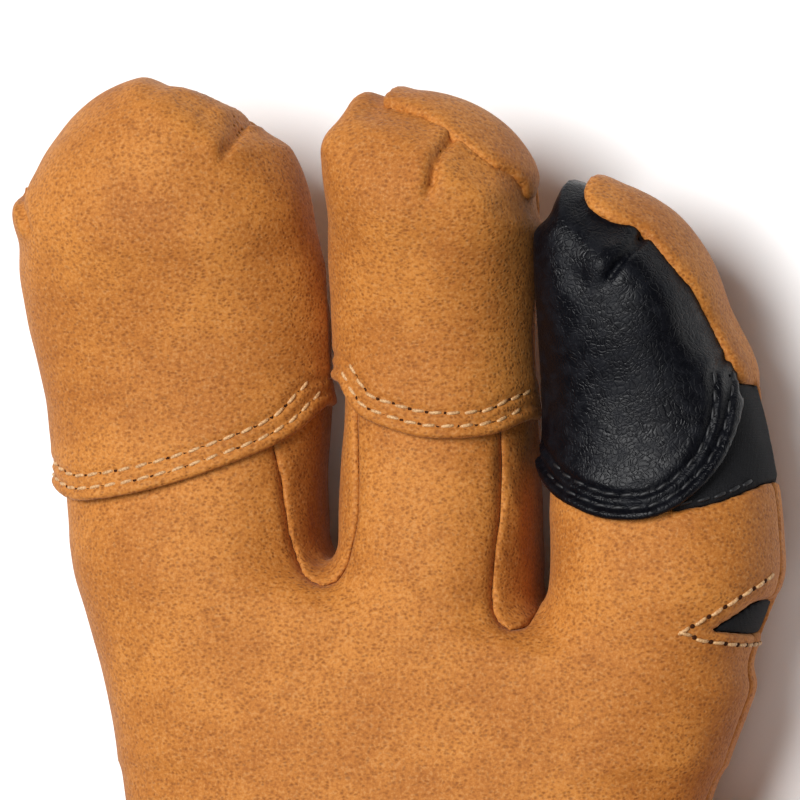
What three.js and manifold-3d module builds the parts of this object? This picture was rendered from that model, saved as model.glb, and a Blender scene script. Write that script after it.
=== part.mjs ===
// A lobster claw mitt: a lined leather work mitt for the right hand whose fingers sit in three sheaths.
// The wide sheath holds the ring and little fingers, the middle and index sheaths hold one finger each.
// Millimetres. It lies on its back: +X is the index side, +Y the fingertips, +Z up out of the palm.
import * as THREE from "three";
import { mergeVertices } from "three/addons/utils/BufferGeometryUtils.js";
import Module from "manifold-3d";

// Leather
const WALL = 2.4; // shell leather with its bonded lining
const CAP_WALL = 1.6; // one layer of leather laid over a sheath
const SEAM_GAP = 0.3; // clearance between two pieces that are sewn together
const HEM_WALL = 1.3; // the strip folded over the wrist edge
const HEM_DEPTH = 11;

// Hand
const HAND_DEPTH = 43;
const PALM_LENGTH = 166; // from the knuckle line to the wrist edge
const WRIST_WIDTH = 84;
const OPENING_WIDTH = 98;
const OPENING_DEPTH = 46;
const KNUCKLE_SLANT = 11.5; // degrees by which the index side of the knuckle line sits lower

// Finger sheaths: where each ends follows from the widths and the two gaps between them
const WIDE = { width: 45, depth: 33, length: 84.5, curl: 44, root: 30, tuck: 0.16 };
const MIDDLE = { width: 34, depth: 31, length: 81, curl: 42, root: 30, tuck: 0 };
const INDEX = { width: 38, depth: 31, length: 66.5, curl: 40, root: 30, tuck: -0.2 };
// The gaps at the knuckles leave room for two caps, and the last two sheaths are narrower under theirs
const WIDE_ROOM = 0.4;
const INDEX_ROOM = -1.2;

// Thumb
const THUMB = { width: 35, depth: 32, length: 100.2, curl: 16, root: 0, tuck: 0 };
const THUMB_SPREAD = 61; // degrees from the fingers
const THUMB_RISE = 5; // degrees up off the floor
const THUMB_ROOT = 0.13; // place across the palm, as a share of the knuckle width
const THUMB_DROP = 0.54; // place along the palm, as a share of its length

// Sewn-in pieces
const GUSSET_FLANK = 8.4; // how much wider the strip is than the gap between its two sheaths
const GUSSET_TAPER = 0.66; // its width at the crotch, as a share of that
const GUSSET_REACH = 46; // up the sheaths from the knuckle line

// Fineness
const CURVE_STEPS = 24; // along a sheath's middle line
const CROTCH_SIDES = 8; // of the round end of a strip
const SHEATH_SIDES = 22;
const BODY_SIDES = 30;
const LINING_SIDES = 18; // the inner faces show less, so they have fewer
const DOME_STEPS = 4;
const DOME_END = 0.35; // of a step that the dome's blunt end cuts off
const SHEATH_SQUARE = 2.35; // how boxy a sheath's section is, where 2 is an ellipse
const ROOT_SIZE = 0.8; // a sheath's buried end, as a share of its first section
const SIDE_FALL = 0.1; // how steeply the front's outline falls away beside the index seam
const SHARPEST = 0.5; // cosine that limits how far a sharp corner moves when an outline grows

const CAP_REACH = SEAM_GAP + CAP_WALL;
const WIDE_GAP = 2 * CAP_REACH + WIDE_ROOM;
const INDEX_GAP = 2 * CAP_REACH + INDEX_ROOM;
const KNUCKLE_WIDTH = WIDE.width + WIDE_GAP + MIDDLE.width + INDEX_GAP + INDEX.width;
const HALF_KNUCKLE = KNUCKLE_WIDTH / 2;
const MID_HEIGHT = HAND_DEPTH / 2;
const TALL = 4 * HAND_DEPTH; // taller than anything that it cuts
const FAR = 2 * (PALM_LENGTH + WIDE.length);
WIDE.center = -HALF_KNUCKLE + WIDE.width / 2;
MIDDLE.center = -HALF_KNUCKLE + WIDE.width + WIDE_GAP + MIDDLE.width / 2;
INDEX.center = HALF_KNUCKLE - INDEX.width / 2;
THUMB.center = 0;
const WEB_MIDDLE = (WIDE.center + WIDE.width / 2 + INDEX.center - INDEX.width / 2) / 2;
const REST_FLAT = 0.045; // share of the half depth that lying flat takes off the back

// Sections of the sheaths. along: share of the length from the knuckle line; the rows end where the dome
// starts. drift: sideways, as a share of the width. broad and deep: shares of the width and the depth.
WIDE.rows = [
  { along: 0.0, drift: 0.02, broad: 0.97, deep: 1.2 },
  { along: 0.17, drift: 0.0, broad: 1.0, deep: 1.1 },
  { along: 0.35, drift: -0.01, broad: 1.04, deep: 1.03 },
  { along: 0.52, drift: -0.05, broad: 1.08, deep: 1.0 },
  { along: 0.64, drift: -0.085, broad: 1.06, deep: 1.0 },
  { along: 0.74, drift: -0.08, broad: 0.98, deep: 1.0 },
];
WIDE.dome = { drift: 0.0, point: 1.75, blunt: 2.4 };
MIDDLE.rows = [
  { along: 0.0, drift: 0.0, broad: 1.0, deep: 1.24 },
  { along: 0.16, drift: 0.0, broad: 0.99, deep: 1.12 },
  { along: 0.34, drift: 0.0, broad: 0.94, deep: 1.03 },
  { along: 0.52, drift: 0.01, broad: 0.93, deep: 1.0 },
  { along: 0.68, drift: 0.03, broad: 0.96, deep: 1.0 },
  { along: 0.8, drift: 0.055, broad: 0.96, deep: 1.0 },
];
MIDDLE.dome = { drift: -0.08, point: 2.2, blunt: 2.4 };
INDEX.rows = [
  { along: 0.0, drift: 0.025, broad: 1.03, deep: 1.24 },
  { along: 0.18, drift: 0.01, broad: 1.02, deep: 1.12 },
  { along: 0.38, drift: -0.01, broad: 0.94, deep: 1.03 },
  { along: 0.54, drift: -0.05, broad: 0.86, deep: 1.0 },
  { along: 0.66, drift: -0.11, broad: 0.74, deep: 1.0 },
];
INDEX.dome = { drift: -0.27, point: 1.75, blunt: 2.3 };
THUMB.rows = [
  { along: 0.0, drift: 0.0, broad: 1.05, deep: 0.9 },
  { along: 0.3, drift: 0.0, broad: 1.16, deep: 1.06 },
  { along: 0.5, drift: 0.0, broad: 1.04, deep: 1.02 },
  { along: 0.7, drift: 0.0, broad: 1.0, deep: 1.0 },
  { along: 0.82, drift: 0.0, broad: 1.0, deep: 1.0 },
];
THUMB.dome = { drift: 0.0, point: 2.1, blunt: 2.2 };

// Sections of the hand, from the wrist edge up. along: share of PALM_LENGTH above the wrist edge. little and
// index: the width on each side, where 0 is the knuckle width, 1 the wrist and 2 the wrist edge. edge: how far
// the depth has changed from the hand's to the wrist edge's, the same all along the hem. deep: a share of that
// depth. square: how boxy the section is. slant: share of KNUCKLE_SLANT.
const BODY_ROWS = [
  { along: 0.0, little: 2.0, index: 2.0, edge: 1.0, deep: 1.0, square: 2.5, slant: 0 },
  { along: 0.07, little: 1.78, index: 1.78, edge: 1.0, deep: 1.0, square: 2.5, slant: 0 },
  { along: 0.16, little: 1.4, index: 1.4, edge: 0.6, deep: 1.0, square: 2.5, slant: 0 },
  { along: 0.28, little: 1.0, index: 1.0, edge: 0.2, deep: 1.0, square: 2.5, slant: 0 },
  { along: 0.46, little: 0.86, index: 0.82, edge: 0.0, deep: 1.0, square: 2.6, slant: 0 },
  { along: 0.62, little: 0.7, index: 0.76, edge: 0.0, deep: 1.0, square: 2.7, slant: 0 },
  { along: 0.76, little: 0.52, index: 0.66, edge: 0.0, deep: 1.0, square: 2.8, slant: 0.2 },
  { along: 0.86, little: 0.36, index: 0.38, edge: 0.0, deep: 0.97, square: 2.9, slant: 0.6 },
  { along: 0.935, little: 0.24, index: 0.2, edge: 0.0, deep: 0.925, square: 2.9, slant: 1 },
];
// The closed end between the sheaths, a quarter round that these steps of its angle cut
const CROTCH_ROUND = 9;
const CROTCH_STEPS = [30, 60, 80];

// Seams drawn on a sheath from above. across: share of the half width from its centre. up: share of its
// length from the knuckle line, measured flat.
const HEM_WIDE = [
  { across: -1.6, up: 0.15 },
  { across: -0.9, up: 0.17 },
  { across: -0.4, up: 0.18 },
  { across: 0.05, up: 0.21 },
  { across: 0.5, up: 0.25 },
  { across: 0.85, up: 0.3 },
  { across: 1.05, up: 0.36 },
  { across: 1.3, up: 0.4 },
];
const HEM_MIDDLE = [
  { across: -1.5, up: 0.46 },
  { across: -1.08, up: 0.39 },
  { across: -0.75, up: 0.33 },
  { across: -0.3, up: 0.3 },
  { across: 0.2, up: 0.28 },
  { across: 0.7, up: 0.29 },
  { across: 1.05, up: 0.33 },
  { across: 1.5, up: 0.38 },
];
const HEM_INDEX = [
  { across: -1.5, up: 0.25 },
  { across: -1.0, up: 0.21 },
  { across: -0.6, up: 0.17 },
  { across: -0.2, up: 0.145 },
  { across: 0.2, up: 0.15 },
  { across: 0.5, up: 0.19 },
  { across: 0.72, up: 0.255 },
  { across: 0.84, up: 0.34 },
  { across: 0.88, up: 0.43 },
];
// Where the front meets the back that folds over the fingertip
const TIP_WIDE = [
  { across: 1.2, up: 0.66 },
  { across: 1.1, up: 0.74 },
  { across: 0.7, up: 0.835 },
  { across: 0.45, up: 0.875 },
  { across: 0.2, up: 0.9 },
  { across: -0.1, up: 0.935 },
  { across: -2, up: 1.2 },
];
const TIP_MIDDLE = [
  { across: 1.25, up: 0.66 },
  { across: 1.15, up: 0.74 },
  { across: 0.8, up: 0.82 },
  { across: 0.5, up: 0.87 },
  { across: 0.1, up: 0.915 },
  { across: -0.3, up: 0.935 },
  { across: -0.45, up: 1.1 },
  { across: -1.12, up: 1.1 },
];
const TIP_INDEX = [
  { across: 1.08, up: 0.3 },
  { across: 0.94, up: 0.46 },
  { across: 0.8, up: 0.6 },
  { across: 0.58, up: 0.7 },
  { across: 0.25, up: 0.8 },
  { across: 0.0, up: 0.84 },
  { across: -0.14, up: 0.93 },
  { across: -0.2, up: 1.1 },
  { across: -0.62, up: 1.1 },
];
// The soft-shell piece beside the index cap, and the small three-cornered insert below it
const PATCH = [
  { across: 0.62, up: 0.17 },
  { across: 0.9, up: 0.215 },
  { across: 1.5, up: 0.255 },
  { across: 1.5, up: 0.42 },
  { across: 1.0, up: 0.42 },
  { across: 0.8, up: 0.42 },
];
const INSERT = [
  { across: 0.56, up: -0.085 },
  { across: 1.5, up: -0.1 },
  { across: 1.5, up: 0.08 },
];
// The height of the side seams, which rise with the curled fingers. up: share of the wide sheath's length
const SIDE_SEAM = [
  { up: -4, high: 0 },
  { up: 0.15, high: 0 },
  { up: 0.4, high: 0.05 },
  { up: 0.6, high: 0.16 },
  { up: 0.75, high: 0.3 },
  { up: 0.9, high: 0.44 },
  { up: 1.5, high: 1.1 },
];

const COLORS = {
  tan: { color: 0xc98a4b, roughness: 0.82, metalness: 0 },
  tanEdge: { color: 0xb97a3d, roughness: 0.85, metalness: 0 },
  blackLeather: { color: 0x17171a, roughness: 0.38, metalness: 0 },
  softShell: { color: 0x101012, roughness: 0.92, metalness: 0 },
};

const wasm = await Module();
wasm.setup();

const mix = THREE.MathUtils.lerp;
const radians = THREE.MathUtils.degToRad;

// The value of a named column at a place along a table, straight between rows
function valueAt(rows, key, place, column) {
  const last = rows.length - 1;
  if (place <= rows[0][key]) return rows[0][column];
  for (let i = 0; i < last; i++) {
    const a = rows[i];
    const b = rows[i + 1];
    if (place <= b[key]) return mix(a[column], b[column], (place - a[key]) / (b[key] - a[key]));
  }
  return rows[last][column];
}

// A closed surface through rings of equally many points, with a flat fan on each end
function loft(rings) {
  const count = rings[0].length;
  const points = rings.flat();
  const faces = [];
  for (let r = 0; r < rings.length - 1; r++) {
    for (let i = 0; i < count; i++) {
      const a = r * count + i;
      const b = r * count + ((i + 1) % count);
      faces.push(a, b + count, b, a, a + count, b + count);
    }
  }
  for (const r of [0, rings.length - 1]) {
    const middle = new THREE.Vector3();
    rings[r].forEach((p) => middle.addScaledVector(p, 1 / count));
    const hub = points.push(middle) - 1;
    for (let i = 0; i < count; i++) {
      const a = r * count + i;
      const b = r * count + ((i + 1) % count);
      faces.push(...(r ? [b, a, hub] : [a, b, hub]));
    }
  }
  return new THREE.BufferGeometry().setFromPoints(points).setIndex(faces);
}

function solidOf(geometry) {
  const bare = geometry.clone();
  bare.deleteAttribute("normal");
  bare.deleteAttribute("uv");
  const merged = mergeVertices(bare);
  return new wasm.Manifold(
    new wasm.Mesh({
      numProp: 3,
      vertProperties: new Float32Array(merged.attributes.position.array),
      triVerts: new Uint32Array(merged.index.array),
    }),
  );
}

// The largest body of a solid: a cut can leave crumbs of leather in a corner
function mainBody(solid) {
  return solid.decompose().reduce((a, b) => (a.volume() > b.volume() ? a : b));
}

function join(solids) {
  return solids.reduce((a, b) => a.add(b));
}

// One ring of a section: a superellipse with its own centre, half sizes and two directions
function ring(center, side, up, halfWidth, halfDepth, square, sides) {
  const points = [];
  for (let i = 0; i < sides; i++) {
    const angle = (i / sides) * 2 * Math.PI;
    const c = Math.cos(angle);
    const s = Math.sin(angle);
    const u = Math.sign(c) * Math.abs(c) ** (2 / square) * halfWidth;
    const v = Math.sign(s) * Math.abs(s) ** (2 / square) * halfDepth;
    points.push(center.clone().addScaledVector(side, u).addScaledVector(up, v));
  }
  return points;
}

// The middle line of a sheath bends up towards its tip: the place and the lean at a share of its length
function sheathFrame(sheath, share) {
  const place = new THREE.Vector3(sheath.center, 0, MID_HEIGHT);
  const leanAt = (s) => radians(sheath.curl) * Math.max(0, s) ** 2;
  for (let i = 0; i < CURVE_STEPS; i++) {
    const lean = leanAt(((i + 0.5) / CURVE_STEPS) * share);
    place.y += (sheath.length * share * Math.cos(lean)) / CURVE_STEPS;
    place.z += (sheath.length * share * Math.sin(lean)) / CURVE_STEPS;
  }
  const lean = leanAt(share);
  return { place, up: new THREE.Vector3(0, -Math.sin(lean), Math.cos(lean)) };
}

// A sheath's surface, moved out by a clearance, or in where that is negative
function sheathGeometry(sheath, out) {
  const side = new THREE.Vector3(1, 0, 0);
  const sides = out < 0 ? LINING_SIDES : SHEATH_SIDES;
  const rings = [];
  const addRing = (share, drift, halfWidth, halfDepth) => {
    const { place, up } = sheathFrame(sheath, share);
    place.x += drift * sheath.width;
    rings.push(ring(place, side, up, halfWidth, halfDepth, SHEATH_SQUARE, sides));
  };
  const first = sheath.rows[0];
  const last = sheath.rows[sheath.rows.length - 1];
  const halfWidth = (row) => (row.broad * sheath.width) / 2 + out;
  const halfDepth = (row) => (row.deep * sheath.depth) / 2 + out;
  if (sheath.root) {
    const width = halfWidth(first) * ROOT_SIZE;
    const depth = halfDepth(first) * ROOT_SIZE;
    addRing(-sheath.root / sheath.length, sheath.tuck, width, depth);
  }
  sheath.rows.forEach((row) => addRing(row.along, row.drift, halfWidth(row), halfDepth(row)));
  const domeLength = 1 - last.along + out / sheath.length;
  for (let i = 1; i <= DOME_STEPS; i++) {
    const rise = Math.sin(((i / (DOME_STEPS + DOME_END)) * Math.PI) / 2);
    const narrow = (1 - rise ** sheath.dome.point) ** (1 / sheath.dome.point);
    const thin = (1 - rise ** sheath.dome.blunt) ** (1 / sheath.dome.blunt);
    const drift = mix(last.drift, sheath.dome.drift, rise ** 2);
    addRing(last.along + domeLength * rise, drift, halfWidth(last) * narrow, halfDepth(last) * thin);
  }
  return loft(rings);
}

// The hand's surface from the wrist edge to the closed end between the sheaths. It is flat where it rests.
// The ends move out by the clearance too, apart from the open wrist end of a cutter.
function handGeometry(out, pastWrist) {
  const side = new THREE.Vector3(1, 0, 0);
  const up = new THREE.Vector3(0, 0, 1);
  const halfWidths = [HALF_KNUCKLE, WRIST_WIDTH / 2, OPENING_WIDTH / 2];
  const halfAt = (blend) => {
    const low = Math.min(1, Math.floor(blend));
    return mix(halfWidths[low], halfWidths[low + 1], blend - low);
  };
  const rings = [];
  const addRing = (row, y, thin) => {
    const left = -halfAt(row.little) - out;
    const right = halfAt(row.index) + out;
    const full = mix(HAND_DEPTH, OPENING_DEPTH, row.edge) / 2;
    const depth = full * row.deep;
    const base = (HEM_WALL + SEAM_GAP) * row.edge;
    const center = new THREE.Vector3((left + right) / 2, y, full + base);
    const points = ring(center, side, up, (right - left) / 2, (depth + out) * thin, row.square, BODY_SIDES);
    const slope = Math.tan(radians(KNUCKLE_SLANT * row.slant));
    const rest = base - out + full * REST_FLAT;
    points.forEach((p) => {
      p.z = Math.max(p.z, rest) - full * REST_FLAT;
      p.y -= (p.x - WEB_MIDDLE) * slope;
    });
    rings.push(points);
  };
  if (pastWrist) addRing(BODY_ROWS[0], -PALM_LENGTH - pastWrist, 1);
  BODY_ROWS.forEach((row) => addRing(row, (row.along - 1) * PALM_LENGTH, 1));
  const last = BODY_ROWS[BODY_ROWS.length - 1];
  const foot = (last.along - 1) * PALM_LENGTH;
  CROTCH_STEPS.forEach((angle) => {
    const reach = (CROTCH_ROUND + out) * Math.sin(radians(angle));
    const rounded = 1 - (CROTCH_ROUND / MID_HEIGHT) * (1 - Math.cos(radians(angle)));
    addRing(last, foot + reach, rounded);
  });
  return loft(rings);
}

// The thumb's sheath, turned out from the palm
function thumbGeometry(out) {
  const turn = new THREE.Matrix4().makeRotationZ(-radians(THUMB_SPREAD));
  const tilt = new THREE.Matrix4().makeRotationX(radians(THUMB_RISE));
  const home = new THREE.Matrix4().makeTranslation(0, 0, -MID_HEIGHT);
  const place = new THREE.Matrix4().makeTranslation(
    THUMB_ROOT * KNUCKLE_WIDTH,
    -THUMB_DROP * PALM_LENGTH,
    MID_HEIGHT,
  );
  const move = place.multiply(turn).multiply(tilt).multiply(home);
  return sheathGeometry(THUMB, out).applyMatrix4(move);
}

// A point on the plan of a sheath
function planPoint(sheath, row) {
  const drift = valueAt(sheath.rows, "along", row.up, "drift");
  return new THREE.Vector2(
    sheath.center + drift * sheath.width + (row.across * sheath.width) / 2,
    row.up * sheath.length,
  );
}

// An outline moved out by a distance, corner by corner
function grownOutline(points, distance) {
  const outline = THREE.ShapeUtils.isClockWise(points) ? [...points].reverse() : points;
  return outline.map((p, i) => {
    const before = outline[(i + outline.length - 1) % outline.length];
    const after = outline[(i + 1) % outline.length];
    const a = p.clone().sub(before).normalize();
    const b = after.clone().sub(p).normalize();
    const outward = new THREE.Vector2(a.y + b.y, -a.x - b.x).normalize();
    const spread = Math.max(SHARPEST, outward.x * a.y - outward.y * a.x);
    return p.clone().addScaledVector(outward, distance / spread);
  });
}

// A cutter with an outline drawn from above, as tall as the mitt or more
function planCutter(points, distance) {
  const shape = new THREE.Shape(grownOutline(points, distance));
  const geometry = new THREE.ExtrudeGeometry(shape, { depth: 2 * TALL, bevelEnabled: false });
  return solidOf(geometry.translate(0, 0, -TALL));
}

// Everything above the side seams, lowered by a clearance
function aboveSideSeam(lowered) {
  const points = SIDE_SEAM.map(
    (row) => new THREE.Vector2(row.up * WIDE.length, MID_HEIGHT + row.high * HAND_DEPTH - lowered),
  );
  points.push(new THREE.Vector2(SIDE_SEAM[SIDE_SEAM.length - 1].up * WIDE.length, TALL));
  points.push(new THREE.Vector2(SIDE_SEAM[0].up * WIDE.length, TALL));
  const shape = new THREE.Shape(points);
  const geometry = new THREE.ExtrudeGeometry(shape, { depth: 2 * FAR, bevelEnabled: false });
  const turned = new THREE.Matrix4().makeBasis(
    new THREE.Vector3(0, 1, 0),
    new THREE.Vector3(0, 0, 1),
    new THREE.Vector3(1, 0, 0),
  );
  return solidOf(geometry.applyMatrix4(turned).translate(-FAR, 0, 0));
}

// The plan of the whole front: up the little-finger side, over the three tips, down the index side
function frontOutline() {
  const seams = [TIP_INDEX, TIP_MIDDLE, TIP_WIDE];
  const tips = [INDEX, MIDDLE, WIDE].flatMap((sheath, i) => seams[i].map((row) => planPoint(sheath, row)));
  return [
    new THREE.Vector2(-FAR, -FAR),
    new THREE.Vector2(FAR, -FAR),
    new THREE.Vector2(FAR, tips[0].y - (FAR - tips[0].x) * SIDE_FALL),
    ...tips,
    new THREE.Vector2(-FAR, tips[tips.length - 1].y),
  ];
}

// The plan of the strip between two sheaths: straight sides and a round end below the crotch
function gussetOutline(left, right, gap) {
  const middle = (left.center + left.width / 2 + right.center - right.width / 2) / 2;
  const half = (gap + GUSSET_FLANK) / 2;
  const round = half * GUSSET_TAPER;
  const slope = Math.tan(radians(KNUCKLE_SLANT));
  const foot = -(middle - WEB_MIDDLE) * slope;
  const points = [
    new THREE.Vector2(middle + half, GUSSET_REACH),
    new THREE.Vector2(middle - half, GUSSET_REACH),
  ];
  for (let i = 0; i <= CROTCH_SIDES; i++) {
    const angle = Math.PI + (i / CROTCH_SIDES) * Math.PI;
    points.push(new THREE.Vector2(middle + round * Math.cos(angle), foot + round * Math.sin(angle)));
  }
  return points;
}

// The plan of everything on the wrist's side of a line across the hand
function belowLine(y) {
  return [
    new THREE.Vector2(-FAR, -FAR),
    new THREE.Vector2(FAR, -FAR),
    new THREE.Vector2(FAR, y),
    new THREE.Vector2(-FAR, y),
  ];
}

// The plan of a cap: its hem, then far round past the fingertip
function capOutline(sheath, hem) {
  const edge = hem.map((row) => planPoint(sheath, row));
  const last = edge[edge.length - 1];
  return [
    ...edge,
    new THREE.Vector2(last.x, 2 * sheath.length),
    new THREE.Vector2(edge[0].x, 2 * sheath.length),
  ];
}

function meshOf(name, solid, look) {
  const { vertProperties, triVerts } = solid.getMesh();
  const geometry = new THREE.BufferGeometry();
  geometry.setAttribute("position", new THREE.BufferAttribute(vertProperties, 3));
  geometry.setIndex(new THREE.BufferAttribute(triVerts, 1));
  geometry.computeVertexNormals();
  const mesh = new THREE.Mesh(geometry, new THREE.MeshStandardMaterial(look));
  mesh.name = name;
  return mesh;
}

function buildMitt() {
  const sheaths = [WIDE, MIDDLE, INDEX];
  const outer = [handGeometry(0, 0), ...sheaths.map((sheath) => sheathGeometry(sheath, 0))];
  const inner = [
    handGeometry(-WALL, 2 * WALL),
    ...sheaths.map((sheath) => sheathGeometry(sheath, -WALL)),
    thumbGeometry(-WALL),
  ];
  const outside = join(outer.map(solidOf));
  const inside = join(inner.map(solidOf));
  const shell = outside.subtract(inside);

  const gussets = [gussetOutline(WIDE, MIDDLE, WIDE_GAP), gussetOutline(MIDDLE, INDEX, INDEX_GAP)];
  const gussetRoom = join(gussets.map((outline) => planCutter(outline, SEAM_GAP)));
  const front = frontOutline();
  const above = aboveSideSeam(0);
  const patch = PATCH.map((row) => planPoint(INDEX, row));
  const insert = INSERT.map((row) => planPoint(INDEX, row));
  const frontShell = shell.intersect(above).intersect(planCutter(front, 0));
  const inserts = join([patch, insert].map((outline) => planCutter(outline, SEAM_GAP)));
  const palm = frontShell.subtract(gussetRoom).subtract(inserts);
  const back = shell
    .subtract(aboveSideSeam(SEAM_GAP).intersect(planCutter(front, SEAM_GAP)))
    .subtract(gussetRoom);

  const capSolid = (sheath, hem) => {
    const layer = solidOf(sheathGeometry(sheath, CAP_REACH)).subtract(
      solidOf(sheathGeometry(sheath, SEAM_GAP)),
    );
    return [above, planCutter(front, 0), planCutter(capOutline(sheath, hem), 0)].reduce(
      (solid, cutter) => solid.intersect(cutter),
      layer,
    );
  };
  const thumb = solidOf(thumbGeometry(0))
    .subtract(solidOf(thumbGeometry(-WALL)))
    .subtract(solidOf(handGeometry(SEAM_GAP, 0)));

  const hemOut = SEAM_GAP + HEM_WALL;
  const edge = solidOf(handGeometry(SEAM_GAP, SEAM_GAP)).subtract(
    solidOf(handGeometry(-WALL - SEAM_GAP, 2 * WALL)),
  );
  const hem = solidOf(handGeometry(hemOut, hemOut))
    .subtract(solidOf(handGeometry(-WALL - hemOut, 4 * WALL)))
    .subtract(edge)
    .intersect(planCutter(belowLine(HEM_DEPTH - PALM_LENGTH), 0));

  const pieces = {
    palm_panel: [palm, COLORS.tan],
    back_panel: [back, COLORS.tan],
    wide_gusset: [shell.intersect(planCutter(gussets[0], 0)), COLORS.tanEdge],
    narrow_gusset: [shell.intersect(planCutter(gussets[1], 0)), COLORS.tanEdge],
    wide_cap: [capSolid(WIDE, HEM_WIDE), COLORS.tan],
    middle_cap: [capSolid(MIDDLE, HEM_MIDDLE), COLORS.tan],
    index_cap: [capSolid(INDEX, HEM_INDEX), COLORS.blackLeather],
    side_patch: [frontShell.intersect(planCutter(patch, 0)), COLORS.softShell],
    vent_insert: [frontShell.intersect(planCutter(insert, 0)), COLORS.softShell],
    thumb_sheath: [thumb, COLORS.tan],
    wrist_hem: [hem, COLORS.tanEdge],
  };
  const mitt = new THREE.Group();
  Object.entries(pieces).forEach(([name, [solid, look]]) => {
    mitt.add(meshOf(name, mainBody(solid), look));
  });
  // The origin is on the floor under the middle of the whole mitt
  const box = new THREE.Box3().setFromObject(mitt);
  mitt.position.set(-(box.min.x + box.max.x) / 2, -(box.min.y + box.max.y) / 2, -box.min.z);
  return mitt;
}

export default buildMitt();
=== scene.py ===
import math
import bpy
import numpy as np
from mathutils import Matrix, Vector


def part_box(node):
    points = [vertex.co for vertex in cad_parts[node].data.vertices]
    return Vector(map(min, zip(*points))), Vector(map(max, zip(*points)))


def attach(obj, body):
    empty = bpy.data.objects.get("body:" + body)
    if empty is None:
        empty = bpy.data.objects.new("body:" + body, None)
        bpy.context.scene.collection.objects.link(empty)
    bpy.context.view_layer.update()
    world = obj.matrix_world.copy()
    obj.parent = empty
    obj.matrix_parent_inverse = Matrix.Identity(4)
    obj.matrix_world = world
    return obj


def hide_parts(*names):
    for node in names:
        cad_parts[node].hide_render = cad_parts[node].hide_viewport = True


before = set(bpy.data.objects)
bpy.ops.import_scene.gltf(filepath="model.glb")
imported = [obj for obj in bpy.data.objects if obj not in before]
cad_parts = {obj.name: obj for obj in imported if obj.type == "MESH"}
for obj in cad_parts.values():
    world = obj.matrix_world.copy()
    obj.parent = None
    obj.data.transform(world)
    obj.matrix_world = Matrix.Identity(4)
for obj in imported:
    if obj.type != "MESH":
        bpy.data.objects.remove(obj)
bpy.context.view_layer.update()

# Sizes in millimetres, as the solids have them. The hand's own frame has its origin on the knuckle line,
# +X towards the index finger, +Y towards the fingertips and +Z up from the floor
WALL = 2.4
CAP_WALL = 1.6
SEAM_GAP = 0.3
HEM_WALL = 1.3
HEM_DEPTH = 11.0
HAND_DEPTH = 43.0
PALM_LENGTH = 166.0
WRIST_WIDTH = 84.0
OPENING_WIDTH = 98.0
OPENING_DEPTH = 46.0
KNUCKLE_SLANT = 11.5
CAP_REACH = SEAM_GAP + CAP_WALL
WIDE_GAP = 2 * CAP_REACH + 0.4
INDEX_GAP = 2 * CAP_REACH - 1.2
WIDE_WIDTH = 45.0
MIDDLE_WIDTH = 34.0
INDEX_WIDTH = 38.0
KNUCKLE_WIDTH = WIDE_WIDTH + WIDE_GAP + MIDDLE_WIDTH + INDEX_GAP + INDEX_WIDTH
HALF_KNUCKLE = KNUCKLE_WIDTH / 2
MID_HEIGHT = HAND_DEPTH / 2
REST_FLAT = 0.045
CROTCH_ROUND = 9.0
THUMB_SPREAD = 61.0
THUMB_RISE = 5.0
THUMB_ROOT = (0.13 * KNUCKLE_WIDTH, -0.54 * PALM_LENGTH)
MM = 0.001
# A plan coordinate past everything
FAR = 400.0

# How softly the large forms run into each other
SHEATH_JOIN = 5.0
THUMB_JOIN = 9.0
FLAT_JOIN = 3.0

# Fineness of the meshes
PANEL_GRID = 0.95
SMALL_GRID = 0.7
CAP_GRID = 0.55

# The photograph's view: from straight above the palm, turned towards the index side
VIEW_TURN = math.radians(16.0)
VIEW_DISTANCE = 1000.0
VIEW_CENTER = np.array([-3.05, 29.35, 22.0])
PHOTO_PIXELS = 800
PIXEL = 0.17
VIEW_RIGHT = np.array([math.cos(VIEW_TURN), 0.0, -math.sin(VIEW_TURN)])
VIEW_UP = np.array([0.0, 1.0, 0.0])
VIEW_BACK = np.array([math.sin(VIEW_TURN), 0.0, math.cos(VIEW_TURN)])
EYE = VIEW_CENTER + VIEW_BACK * VIEW_DISTANCE

# Where the hand's own frame lies in the row's frame
HEM_LOW, HEM_HIGH = (np.array(corner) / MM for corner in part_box("wrist_hem"))
HOME = np.array([
    (HEM_LOW[0] + HEM_HIGH[0]) / 2,
    HEM_LOW[1] + PALM_LENGTH + SEAM_GAP + HEM_WALL,
    HEM_LOW[2],
])


def smooth_min(a, b, reach):
    blend = np.maximum(reach - np.abs(a - b), 0) / reach
    return np.minimum(a, b) - blend * blend * reach / 4


def smooth_max(a, b, reach):
    return -smooth_min(-a, -b, reach)


def ramp(value, low, high):
    share = np.clip((value - low) / (high - low), 0, 1)
    return share * share * (3 - 2 * share)


def smooth_column(rows, key, column, at, spread):
    """A named column of a table along its key, with the corners between rows rounded off."""
    places = [row[key] for row in rows]
    values = [row[column] for row in rows]
    steps = np.linspace(-2, 2, 9)
    weights = np.exp(-steps ** 2)
    total = sum(w * np.interp(at + o, places, values) for o, w in zip(steps * spread, weights))
    return total / weights.sum()


def section_distance(u, v, w, half_width, half_depth, dome, square, close):
    """First-order distance to a superellipse tube that a dome closes where w is over 0."""
    au = np.abs(u) / half_width
    av = np.abs(v) / half_depth
    aw = np.maximum(w, 0) / dome
    flat = np.maximum((au ** square + av ** square) ** (1 / square), 1e-4)
    full = (flat ** close + aw ** close) ** (1 / close)
    turn = (flat / full) ** (close - 1)
    gu = turn * (au / flat) ** (square - 1) / half_width
    gv = turn * (av / flat) ** (square - 1) / half_depth
    gw = (aw / full) ** (close - 1) / dome
    slope = np.sqrt(gu * gu + gv * gv + gw * gw)
    return (full - 1) / np.maximum(slope, 0.25 / half_width)


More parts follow.
